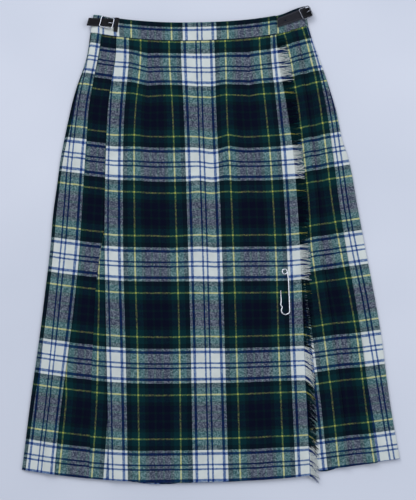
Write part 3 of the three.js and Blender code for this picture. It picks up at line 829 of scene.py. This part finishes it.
def tartanMaterial(name):
    material, tree, shader = newMaterial(name, wool["finish"])
    threads, axes = uvPlace(tree, "threads")
    drift = mathNode(tree, "MULTIPLY_ADD", noiseOf(tree, threads, 260, 1), 0.0009, -0.00045)
    power = 1 / wool["blend"]
    warp = settColour(tree, mathNode(tree, "ADD", axes[0], drift), cloth["warpHalf"], power)
    weft = settColour(tree, mathNode(tree, "ADD", axes[1], drift), cloth["weftHalf"], power)
    # the twill's diagonal, two threads up and two down
    rib = 1 / (4 * wool["thread"] * millimetre)
    diagonal = mathNode(tree, "MULTIPLY", mathNode(tree, "ADD", axes[0], axes[1]), 2 * math.pi * rib)
    wave = mathNode(tree, "SINE", diagonal)
    crossings = addNode(tree, "ShaderNodeTexVoronoi", {"Scale": 1000 / wool["crossing"]}, {"Vector": threads})
    speckle = addNode(tree, "ShaderNodeSeparateXYZ", {}, {0: crossings.outputs["Color"]})
    speckled = mathNode(tree, "MULTIPLY_ADD", speckle.outputs[0], 0.4, -0.2)
    onTop = mathNode(tree, "ADD", mathNode(tree, "MULTIPLY_ADD", wave, 0.1, speckled), 0.5)
    onTop.node.use_clamp = True
    blended = blendOf(tree, onTop, weft, warp)
    # painted shade: the crossings come out darker than an even mix of their two threads
    threadColour = addNode(tree, "ShaderNodeGamma", {"Gamma": wool["blend"]}, {"Color": blended})
    worn = rangeOf(tree, noiseOf(tree, threads, 38, 3), 0.9, 1.06)
    tree.links.new(scaledColour(tree, threadColour.outputs[0], worn), shader.inputs["Base Color"])
    addBump(tree, shader, mathNode(tree, "MULTIPLY_ADD", wave, 0.5, speckled), 0.35, 0.0003)
    return material


tartan = tartanMaterial("woolTwill")


# the layers' hems don't lie quite in one line
def rowsTo(end):
    rowCount = round(skirtLength / cloth["rowGap"])
    return [end * i / rowCount for i in range(rowCount + 1)]


print("back panel")
backPanel = clothMesh("backPanel", backSection, riseBack, rowsTo(708.2), 3.1, backBumps)
dress(backPanel, tartan, "tartan_wool", "back_panel")

print("under apron")
underPanel = clothMesh("underApron", underApronSection, riseRight, rowsTo(709.4), 7.7, underBumps)
dress(underPanel, tartan, "tartan_wool", "under_apron")

print("front apron")
frontPanel = clothMesh("frontApron", frontApronSection, riseApron, rowsTo(708.4), 12.4, apronBumps)
dress(frontPanel, tartan, "tartan_wool", "front_apron")


# the waistband, one doubled strip of the same cloth

print("waistband")


def bandThreads(x):
    return along(band["across"], x)


def bandSection(values):
    right, left = values["rightEdge"], values["leftEdge"]
    start = values["apronFold"] + underApron["hiddenStart"]
    backHeight = band["wall"] / 2
    under = levelHeight(3) - cloth["wall"] / 2 + band["wall"] / 2
    over = under + band["wall"] + cloth["step"] - cloth["wall"]
    points = []
    edge = values["fringedEdge"]
    straight(points, start, under, 40.5 - edge + start)
    run(points, edge, under, 40.5, 20)
    run(points, right - 3, under, 97, 10)
    follow(
        points,
        (right - 1.5, under - 0.5, 98.3),
        (right - 0.8, under - 1.5, 99.3),
        (right - 0.8, backHeight + 1.4, 100.3),
        (right - 1.3, backHeight + 0.4, 101.3),
        (right - 2.6, backHeight, 102.3),
    )
    run(points, left + 2.6, backHeight, 102.3 + 344, 60)
    follow(
        points,
        (left + 1.3, backHeight + 0.4, 447.3),
        (left + 0.8, backHeight + 1.4, 448.3),
        (left + 0.8, backHeight + 2.6, 449.3),
    )
    jumpTo(points, bandThreads(left) - 3)
    follow(
        points,
        (left + 1.6, backHeight + 3.6, bandThreads(left + 1.6) - 1),
        (left + 3.2, backHeight + 4.1, bandThreads(left + 3.2)),
        (left + 11, over, bandThreads(left + 11)),
    )
    count = 64
    for i in range(1, count + 1):
        x = mix(left + 11, edge, i / count)
        straight(points, x, over, bandThreads(x))
    return points


bandRows = [-band["seamGap"] - (band["height"] - band["seamGap"]) * i / 10 for i in range(11)]
waistband = clothMesh("waistBand", bandSection, riseBand, bandRows, 21.3, None,
                      lambda below: along(band["down"], below), band["wall"], 0.7)
dress(waistband, tartan, "tartan_wool", "waistband")

# the fringe: loose weft threads, twisted in twos, that stand out of the apron's edge

print("fringe")
fringe = {
    "pitch": 0.72, "radius": 0.43, "sides": 4, "joints": 6,
    "length": [(0, 18), (60, 20.5), (170, 18), (300, 18), (470, 16.5), (560, 19), (680, 19.5), (712, 17)],
    "lean": [(0, -4), (60, 1), (300, 3), (430, 9), (480, 22), (525, 46), (660, 50), (698, 50), (712, 44)],
    "finish": {"Roughness": 0.95, "Specular IOR Level": 0.02, "Sheen Weight": 0.01, "Sheen Roughness": 0.5},
}


def strandPath(values, draws):
    below = values["below"]
    lean = along(fringe["lean"], below)
    length = along(fringe["length"], below) * draws.uniform(0.78, 1.08)
    stray = draws.random() < 0.08
    spread = 28 if stray else 8
    angle = -lean * 0.45 + draws.gauss(0, 2)
    endAngle = -lean * 1.15 + draws.gauss(0, spread)
    curl = draws.gauss(0, 8)
    x = values["fringedEdge"] - 1.5
    y = -below + riseApron(values, values["fringedEdge"])
    z = levelHeight(4) + 0.1
    restHeight = levelHeight(3) + 0.5 * cloth["wall"] + fringe["radius"] + draws.uniform(0.05, 0.75)
    path = []
    joints = fringe["joints"]
    for i in range(joints + 1):
        t = i / joints
        path.append((x, y, mix(z, restHeight, smoothStep(t, 0.05, 0.6))))
        heading = math.radians(mix(angle, endAngle, t ** 0.8) + curl * math.sin(3.1 * t))
        x += math.cos(heading) * length / joints
        y += math.sin(heading) * length / joints
    return path


# the yellow is two threads wide, and they lie apart in the fringe
def inYellow(down):
    half = cloth["weftHalf"]
    folded = abs((down + half) % (2 * half) - half)
    return abs(folded - 45.6) < 1.4


def fringeMesh():
    draws = random.Random(11)
    vertices, faces, corners = [], [], []
    sides = fringe["sides"]
    below = 7
    while below < skirtLength - 0.6:
        values = planAt(below)
        path = strandPath(values, draws)
        down = below - along(weftSag, below) - cloth["firstWhite"]
        thin = 0.5 if inYellow(down) else 1
        base = len(vertices)
        for i, (x, y, z) in enumerate(path):
            after = path[min(i + 1, len(path) - 1)]
            before = path[max(i - 1, 0)]
            length = math.hypot(after[0] - before[0], after[1] - before[1])
            sideX = -(after[1] - before[1]) / length
            sideY = (after[0] - before[0]) / length
            radius = fringe["radius"] * thin * mix(1, 0.62, i / (len(path) - 1))
            for k in range(sides):
                turned = 2 * math.pi * k / sides
                reach = radius * math.cos(turned)
                vertices.append((
                    (x + sideX * reach) * millimetre,
                    (y + sideY * reach + seamY) * millimetre,
                    (z + radius * math.sin(turned)) * millimetre,
                ))
        for i in range(len(path) - 1):
            for k in range(sides):
                a, b = base + i * sides + k, base + i * sides + (k + 1) % sides
                faces.append((a, b, b + sides, a + sides))
                for step in (i, i, i + 1, i + 1):
                    corners.append((step * 2.4 + below * 7, down))
        faces.append(tuple(base + k for k in reversed(range(sides))))
        corners += [(below * 7, down)] * sides
        last = base + (len(path) - 1) * sides
        faces.append(tuple(last + k for k in range(sides)))
        corners += [(below * 7 + 14, down)] * sides
        below += fringe["pitch"] * draws.uniform(0.8, 1.2)
    piece = meshPiece("apronFringe", vertices, faces, "threads", corners)
    faceOut(piece)
    return piece


def faceOut(piece):
    shell = bmesh.new()
    shell.from_mesh(piece.data)
    bmesh.ops.recalc_face_normals(shell, faces=shell.faces)
    shell.to_mesh(piece.data)
    shell.free()


# loose worsted yarn: the same dyes with no crossing threads, brighter and hairy
def yarnMaterial(name):
    material, tree, shader = newMaterial(name, fringe["finish"])
    threads, axes = uvPlace(tree, "threads")
    threadColour = settColour(tree, axes[1], cloth["weftHalf"], 1)
    hairs = noiseOf(tree, threads, 900, 2)
    shaded = scaledColour(tree, threadColour, rangeOf(tree, hairs, 0.68, 1.02))
    tree.links.new(shaded, shader.inputs["Base Color"])
    addBump(tree, shader, hairs, 0.5, 0.0003)
    return material


apronFringe = fringeMesh()
dress(apronFringe, yarnMaterial("worstedYarn"), "wool_threads", "apron_fringe")


# leather: straps cut from hide, edges rubbed pale, one row of stitches along each edge

print("straps")
straps = {
    "left": {
        "place": (-155, 34), "turn": -5, "frameTurn": -10, "base": 7.4, "width": 13,
        "leftEnd": -31, "slant": 2.6, "rightEnd": 11.8, "widen": 0,
        "frame": (22.4, 19.8), "frameShift": 0.9,
        "holes": [(3.6, 2.2, 1.5)],
    },
    "right": {
        "place": (172, 41.5), "turn": 18, "frameTurn": 4, "base": 5.5, "width": 14.5,
        "leftEnd": -48.5, "slant": 4.8, "rightEnd": 11.5, "widen": 2.2,
        "frame": (18.6, 20.6), "frameShift": 1.6,
        "holes": [(-34.5, 3.6, 2.4)],
    },
}
leather = {
    "wall": 1.6, "gap": 0.3, "centreBar": 0.8, "frameBar": 1.8, "barSeen": 1.5,
    "black": "08090c", "blackEdge": "26272c", "grey": "1c1d22", "greyEdge": "3a3b42",
    "stitchLength": 2.6, "stitchInset": 1.7, "stitchHalf": 0.3, "grain": 0.9,
}


def leatherMaterial(name, colour, edgeColour):
    material, tree, shader = newMaterial(name, {"Specular IOR Level": 0.12})
    strip, axes = uvPlace(tree, "strip")
    grain = addNode(tree, "ShaderNodeTexVoronoi", {"Scale": 1000 / leather["grain"]}, {"Vector": strip})
    creases = noiseOf(tree, strip, 240, 3)
    # rubbed within a millimetre of the edge
    patchy = mathNode(tree, "MULTIPLY", rangeOf(tree, axes[1], 0, 0.9, 0.0012, 0.0), creases)
    hide = addNode(tree, "ShaderNodeValToRGB", {}, {"Fac": creases})
    red, green, blue, _ = linearOf(colour)
    darker, lighter = ((share * red, share * green, share * blue, 1) for share in (0.75, 1.35))
    fillRamp(hide, [(0.3, darker), (0.75, lighter)])
    worn = blendOf(tree, patchy, hide.outputs["Color"], linearOf(edgeColour))
    # stitches: short raised threads a little in from the edge
    fromRow = mathNode(tree, "SUBTRACT", axes[1], leather["stitchInset"] * millimetre)
    stitchHalf = leather["stitchHalf"] * millimetre
    inRow = mathNode(tree, "LESS_THAN", mathNode(tree, "ABSOLUTE", fromRow), stitchHalf)
    step = mathNode(tree, "PINGPONG", axes[0], 0.5 * leather["stitchLength"] * millimetre)
    onStitch = mathNode(tree, "GREATER_THAN", step, stitchHalf)
    stitch = mathNode(tree, "MULTIPLY", inRow, onStitch)
    threaded = blendOf(tree, stitch, worn, linearOf(edgeColour))
    tree.links.new(threaded, shader.inputs["Base Color"])
    height = mathNode(tree, "MULTIPLY_ADD", grain.outputs["Distance"], 0.35, stitch)
    addBump(tree, shader, height, 0.5, 0.0004)
    tree.links.new(rangeOf(tree, creases, 0.5, 0.72), shader.inputs["Roughness"])
    return material


# a strap lies flat and rises over the buckle's centre bar; x runs from that bar
def strapHeights(strap):
    low = strap["base"] + leather["gap"] + leather["wall"] / 2
    high = low + 2 * leather["centreBar"] + leather["gap"]
    inside = strap["frame"][0] / 2 - leather["frameBar"]
    return low, high, inside


def strapMesh(name, strap, fromX, toX):
    low, high, inside = strapHeights(strap)
    heights = [(fromX, low), (-inside, low), (-1.6, high), (1.6, high), (inside, low)]
    heights.append((strap["rightEnd"] + 1, low))
    half = strap["width"] / 2
    across = [-1, -0.8, -0.4, 0, 0.4, 0.8, 1]
    count = max(6, round((toX - fromX) / 1.6))
    vertices, faces, corners = [], [], []
    for i in range(count + 1):
        x = mix(fromX, toX, i / count)
        z = heights[0][1]
        for (startX, startZ), (endX, endZ) in zip(heights, heights[1:]):
            if startX < x <= endX:
                z = mix(startZ, endZ, smoothStep(x, startX, endX))
        for share in across:
            skew = 0.5 * strap["slant"] * share * (1 - i / count)
            wider = strap["widen"] * max(share, 0) * i / count
            vertices.append((x + skew, half * share + wider, z - 0.16 * share ** 2))
    for i in range(count):
        for j in range(len(across) - 1):
            a, b = i * len(across) + j, (i + 1) * len(across) + j
            faces.append((a, b, b + 1, a + 1))
            near, far = across[j], across[j + 1]
            for corner, share in ((a, near), (b, near), (b + 1, far), (a + 1, far)):
                x = vertices[corner][0]
                corners.append((x, min(half * (1 - abs(share)), abs(x - fromX))))
    piece = meshPiece(name, vertices, faces, "strip", corners)
    thicken(piece, leather["wall"])
    return piece


def selectOnly(first, *others):
    bpy.ops.object.select_all(action="DESELECT")
    for piece in (first, *others):
        piece.select_set(True)
    bpy.context.view_layer.objects.active = first


# cut a hole through a strap with an oval punch
def punch(piece, x, length, width, height):
    bpy.ops.mesh.primitive_cylinder_add(vertices=20, radius=0.5, depth=8, location=(x, 0, height))
    tool = bpy.context.active_object
    tool.scale = (length, width, 1)
    bpy.ops.object.transform_apply(location=False, rotation=False, scale=True)
    bpy.context.view_layer.objects.active = piece
    cut = piece.modifiers.new("cut", "BOOLEAN")
    cut.operation = "DIFFERENCE"
    cut.solver = "EXACT"
    cut.object = tool
    bpy.ops.object.modifier_apply(modifier="cut")
    bpy.data.objects.remove(tool)


def roundEdges(piece, width, segments=2):
    bpy.context.view_layer.objects.active = piece
    rounded = piece.modifiers.new("rounded", "BEVEL")
    rounded.width = width
    rounded.segments = segments
    rounded.limit_method = "ANGLE"
    rounded.angle_limit = math.radians(50)
    bpy.ops.object.modifier_apply(modifier="rounded")


# move a finished piece from its strap's own place to the skirt's, in metres
def settle(piece, place, degrees):
    selectOnly(piece)
    piece.scale = (millimetre, millimetre, millimetre)
    piece.rotation_euler = (0, 0, math.radians(degrees))
    piece.location = (place[0] * millimetre, (place[1] + seamY) * millimetre, 0)
    bpy.ops.object.transform_apply(location=True, rotation=True, scale=True)
    bpy.ops.object.shade_smooth_by_angle(angle=math.radians(38))
    piece.select_set(False)


blackLeather = leatherMaterial("blackHide", leather["black"], leather["blackEdge"])
greyLeather = leatherMaterial("greyHide", leather["grey"], leather["greyEdge"])

# behind the bar the right strap ends, and a wider black tab goes on into the band
tab = {**straps["right"], "width": 15.4, "widen": 0, "slant": 0, "holes": [(3.6, 2.2, 1.5)]}
for name, strap, fromX, toX, hide, slotName, nodes in (
    ("leftStrap", straps["left"], straps["left"]["leftEnd"], straps["left"]["rightEnd"], blackLeather,
     "black_leather", ["left_strap"]),
    ("rightStrap", straps["right"], straps["right"]["leftEnd"], -6.3, greyLeather,
     "grey_leather", ["right_strap"]),
    ("rightTab", tab, -6.1, tab["rightEnd"], blackLeather, "black_leather", []),
):
    piece = strapMesh(name, strap, fromX, toX)
    for x, length, width in strap["holes"]:
        punch(piece, x, length, width, strapHeights(strap)[0])
    roundEdges(piece, 0.35)
    settle(piece, strap["place"], strap["turn"])
    dress(piece, hide, slotName, *nodes)


# the stay that binds the slit the left strap comes out of

print("stay")
stay = {"place": (-138.9, 30.2), "turn": -9, "size": (6.5, 24), "base": 7.7}
bpy.ops.mesh.primitive_cube_add(size=1, location=(0, 0, stay["base"] + leather["wall"] / 2))
leftStay = bpy.context.active_object
leftStay.name = "leftStay"
leftStay.scale = (*stay["size"], leather["wall"])
bpy.ops.object.transform_apply(location=True, rotation=False, scale=True)
bpy.ops.object.mode_set(mode="EDIT")
bpy.ops.mesh.select_all(action="SELECT")
bpy.ops.mesh.subdivide(number_cuts=3)
bpy.ops.mesh.select_all(action="DESELECT")
bpy.ops.object.mode_set(mode="OBJECT")
for vertex in leftStay.data.vertices:
    x, y, z = vertex.co
    vertex.co.z = z - 0.5 * smoothStep(abs(x), 1.4, 3.3) * (z > stay["base"] + 0.8)
strip = leftStay.data.uv_layers.new(name="strip")
for loop in leftStay.data.loops:
    x, y, z = leftStay.data.vertices[loop.vertex_index].co
    inFromEdge = min(stay["size"][0] / 2 - abs(x), stay["size"][1] / 2 - abs(y))
    strip.data[loop.index].uv = (y * millimetre, max(inFromEdge, 0) * millimetre)
roundEdges(leftStay, 0.4)
settle(leftStay, stay["place"], stay["turn"])
dress(leftStay, blackLeather, "black_leather", "left_strap_stay")


# buckles and pin: nickel-plated steel, polished, with fine rub marks

print("buckles")


def platedSteel(name, dull, bright):
    material, tree, shader = newMaterial(name, {"Metallic": 1})
    place = addNode(tree, "ShaderNodeTexCoord").outputs["Object"]
    stretched = addNode(tree, "ShaderNodeMapping", {"Scale": (3, 1, 1)}, {"Vector": place})
    rubs = noiseOf(tree, stretched.outputs[0], 900, 3)
    plating = addNode(tree, "ShaderNodeValToRGB", {}, {"Fac": rubs})
    fillRamp(plating, [(0.3, linearOf(dull)), (0.7, linearOf(bright))])
    tree.links.new(plating.outputs["Color"], shader.inputs["Base Color"])
    tree.links.new(rangeOf(tree, rubs, 0.18, 0.36), shader.inputs["Roughness"])
    addBump(tree, shader, rubs, 0.12, 0.0002)
    return material


steel = platedSteel("nickelPlatedSteel", "8d9198", "c3c6cb")
# painted shade: the right buckle's frame and prong get a darker copy of the plated steel, painting the dark
# it reflects
shadedSteel = platedSteel("shadedNickel", "676a70", "9c9fa5")


# a flat plate, its corners rounded, its middle let in and taken out, drawn up to a bar
def buckleFrame(name, strap):
    length, width = strap["frame"]
    bar = leather["frameBar"]
    base = strap["base"] + 2 * leather["gap"] + leather["wall"]
    bpy.ops.mesh.primitive_plane_add(size=1, location=(strap["frameShift"], 0, base))
    piece = bpy.context.active_object
    piece.name = name
    piece.scale = (length, width, 1)
    bpy.ops.object.transform_apply(location=True, rotation=False, scale=True)
    bpy.ops.object.mode_set(mode="EDIT")
    bpy.ops.mesh.select_all(action="SELECT")
    bpy.ops.mesh.bevel(offset=3.4, segments=5, affect="VERTICES")
    bpy.ops.mesh.select_mode(type="FACE")
    bpy.ops.mesh.select_all(action="SELECT")
    bpy.ops.mesh.inset(thickness=leather["barSeen"], depth=0)
    bpy.ops.mesh.delete(type="FACE")
    bpy.ops.mesh.select_all(action="SELECT")
    bpy.ops.mesh.extrude_region_move(TRANSFORM_OT_translate={"value": (0, 0, bar)})
    bpy.ops.mesh.select_all(action="SELECT")
    bpy.ops.mesh.normals_make_consistent(inside=False)
    bpy.ops.object.mode_set(mode="OBJECT")
    roundEdges(piece, 0.5, 3)
    return piece


# the round bar across a buckle, with a post up to the frame at each end
def centreBar(strap):
    half = strap["frame"][1] / 2 - leather["frameBar"] / 2
    height = strap["base"] + leather["gap"] + leather["centreBar"]
    top = strap["base"] + 2 * leather["gap"] + leather["wall"] + 1
    parts = []
    bpy.ops.mesh.primitive_cylinder_add(vertices=14, radius=leather["centreBar"], depth=2 * half,
                                        location=(0, 0, height), rotation=(math.radians(90), 0, 0))
    bpy.ops.object.transform_apply(location=True, rotation=True, scale=True)
    parts.append(bpy.context.active_object)
    for side in (-1, 1):
        bpy.ops.mesh.primitive_cube_add(size=1, location=(0, side * half, (height + top) / 2))
        post = bpy.context.active_object
        post.scale = (1.6, 1.4, top - height)
        bpy.ops.object.transform_apply(location=True, rotation=False, scale=True)
        roundEdges(post, 0.25)
        parts.append(post)
    return parts


def joinPieces(first, others):
    selectOnly(first, *others)
    bpy.ops.object.join()


# a round wire drawn along points by extruding its end and turning it at each bend
def drawWire(name, points, radius, axis, sides=10, taper=0):
    start, second = Vector(points[0]), Vector(points[1])
    heading = second - start
    bpy.ops.mesh.primitive_circle_add(vertices=sides, radius=radius, fill_type="NGON", location=start,
                                      rotation=heading.to_track_quat("Z", "Y").to_euler())
    piece = bpy.context.active_object
    piece.name = name
    bpy.ops.object.transform_apply(location=True, rotation=True, scale=True)
    spindle = Vector((0, 0, 1)) if axis == "Z" else Vector((0, 1, 0))
    bpy.ops.object.mode_set(mode="EDIT")
    bpy.ops.mesh.select_mode(type="FACE")
    bpy.ops.mesh.select_all(action="SELECT")
    for i in range(1, len(points)):
        here = Vector(points[i])
        move = here - Vector(points[i - 1])
        bpy.ops.mesh.extrude_region_move(TRANSFORM_OT_translate={"value": move})
        if i >= len(points) - taper:
            bpy.ops.transform.resize(value=(0.68, 0.68, 0.68), center_override=here)
        if i == len(points) - 1:
            break
        after = Vector(points[i + 1]) - here
        facing = bmesh.from_edit_mesh(piece.data)
        normal = next(face.normal.copy() for face in facing.faces if face.select)
        wanted = (move.normalized() + after.normalized()).normalized()
        if normal.dot(move) < 0:
            normal.negate()
        bend = math.atan2(spindle.dot(normal.cross(wanted)), normal.dot(wanted))
        turning = Matrix.Rotation(bend, 3, axis)
        for vertex in facing.verts:
            if vertex.select:
                vertex.co = here + turning @ (vertex.co - here)
        bmesh.update_edit_mesh(piece.data)
    bpy.ops.mesh.select_all(action="SELECT")
    bpy.ops.mesh.normals_make_consistent(inside=False)
    bpy.ops.object.mode_set(mode="OBJECT")
    return piece


# smooth points through the given ones
def curved(points, steps):
    smooth = []
    for i in range(len(points) - 1):
        before = Vector(points[max(i - 1, 0)])
        a, b = Vector(points[i]), Vector(points[i + 1])
        after = Vector(points[min(i + 2, len(points) - 1)])
        for k in range(steps):
            t = k / steps
            smooth.append(0.5 * (
                2 * a + (b - before) * t + (2 * before - 5 * a + 4 * b - after) * t ** 2
                + (3 * a - before - 3 * b + after) * t ** 3
            ))
    smooth.append(Vector(points[-1]))
    return smooth


def buckleProng(name, strap):
    base = strap["base"] + leather["gap"]
    rest = base + leather["gap"] + leather["wall"] + leather["frameBar"] + leather["gap"] + 0.65
    outer = (strap["frame"][0] - leather["frameBar"]) / 2 + strap["frameShift"]
    points = [(1.9, 0, base + 1), (3.1, 0, base + 2.6), (4.8, 0, rest - 0.5)]
    points += [(outer - 2, 0, rest), (outer + 0.7, 0, rest)]
    piece = drawWire(name, curved(points, 4), 0.65, "Y")
    roundEdges(piece, 0.2)
    return piece


# the right buckle takes the darker steel, its painted shade
for side, plating in (("left", steel), ("right", shadedSteel)):
    strap = straps[side]
    frameObject = buckleFrame(side + "Frame", strap)
    joinPieces(frameObject, centreBar(strap))
    prong = buckleProng(side + "Prong", strap)
    for piece, part in ((frameObject, "frame"), (prong, "prong")):
        settle(piece, strap["place"], strap["turn"] + strap["frameTurn"])
        dress(piece, plating, "steel", side + "_buckle_" + part)


# the kilt pin: one steel wire, a coil at the top, a round bend and a short pointed leg

print("kilt pin")
pin = {
    "wire": 1.0, "ring": (122.1, 386, 3.9), "longLeg": 127.4, "shortLeg": 114.4,
    "bend": 447.5, "pointBelow": 416, "height": 7.5,
}


def pinPoints():
    ringX, ringBelow, ringRadius = pin["ring"]
    flat = []
    for i in range(11):
        angle = math.pi * 1.82 * (1 - i / 11)
        flat.append((ringX + ringRadius * math.cos(angle), -ringBelow + ringRadius * math.sin(angle)))
    longLeg, shortLeg, bend = pin["longLeg"], pin["shortLeg"], pin["bend"]
    flat += [(longLeg - 0.6, -ringBelow - 7), (longLeg, -ringBelow - 16)]
    flat += [(longLeg, -0.5 * (ringBelow + bend)), (longLeg, -bend)]
    middle, radius = (longLeg + shortLeg) / 2, (longLeg - shortLeg) / 2
    for degrees in (-45, -90, -135):
        angle = math.radians(degrees)
        flat.append((middle + radius * math.cos(angle), -bend + radius * math.sin(angle)))
    flat += [(shortLeg - 0.2, -bend), (shortLeg + 1.5, -bend + 4.8), (shortLeg - 0.7, -bend + 9.2)]
    flat += [(shortLeg + 0.2, -bend + 14), (shortLeg + 0.2, -pin["pointBelow"])]
    return [(x, y, pin["height"]) for x, y in flat]


kiltPin = drawWire("kiltPin", curved(pinPoints(), 4), pin["wire"], "Z", 12, 3)
roundEdges(kiltPin, 0.15)
settle(kiltPin, (0, 0), 0)
dress(kiltPin, platedSteel("polishedWire", "c9ccd0", "eceeef"), "steel", "kilt_pin")
